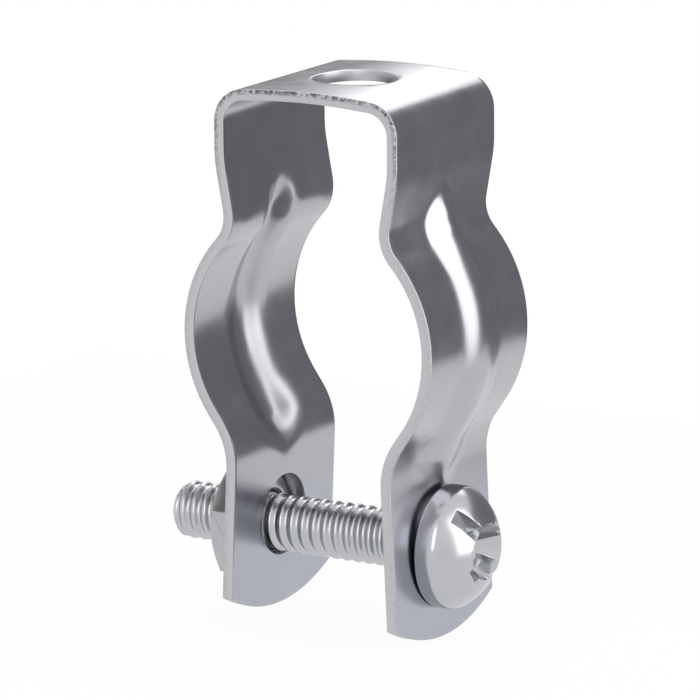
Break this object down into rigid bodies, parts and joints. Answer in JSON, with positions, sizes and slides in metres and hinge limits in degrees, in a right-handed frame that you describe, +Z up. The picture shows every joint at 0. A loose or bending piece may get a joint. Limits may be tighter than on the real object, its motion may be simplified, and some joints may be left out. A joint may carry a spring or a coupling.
{
  "type": "conduit hanger",
  "caption": "Bent zinc-plated strap that hangs a rigid conduit from a bolt in its crown and clamps it with a screw and nut.",
  "frame": {"origin": "on the held conduit's axis, midway across the strap's width", "axes": "+Z up through the middle of the hole in the crown, +Y along the held conduit, +X along the screw towards its head"},
  "size_m": [0.0293, 0.0158, 0.0456],
  "materials": {
    "strap_zinc": "bright zinc plate on cold-rolled strip",
    "screw_zinc": "bright zinc plate on a rolled screw",
    "nut_zinc": "bright zinc plate on a cold-formed nut"
  },
  "bodies": {
    "strap": {"hanger_strap": "strap_zinc"},
    "screw": {"clamp_screw": "screw_zinc"},
    "nut": {"clamp_nut": "nut_zinc"}
  },
  "joints": [
    {"name": "screw_turn", "type": "hinge", "parent": "strap", "child": "screw", "pos_m": [0, 0, -0.01735], "axis": [1, 0, 0], "range_deg": [0, 1775]},
    {"name": "nut_travel", "type": "slide", "parent": "strap", "child": "nut", "axis": [-1, 0, 0], "range_m": [0, 0.0052]}
  ],
  "couplings": [
    {"joint": "screw_turn", "follows": "nut_travel", "rad_per_m": 5936.8}
  ]
}
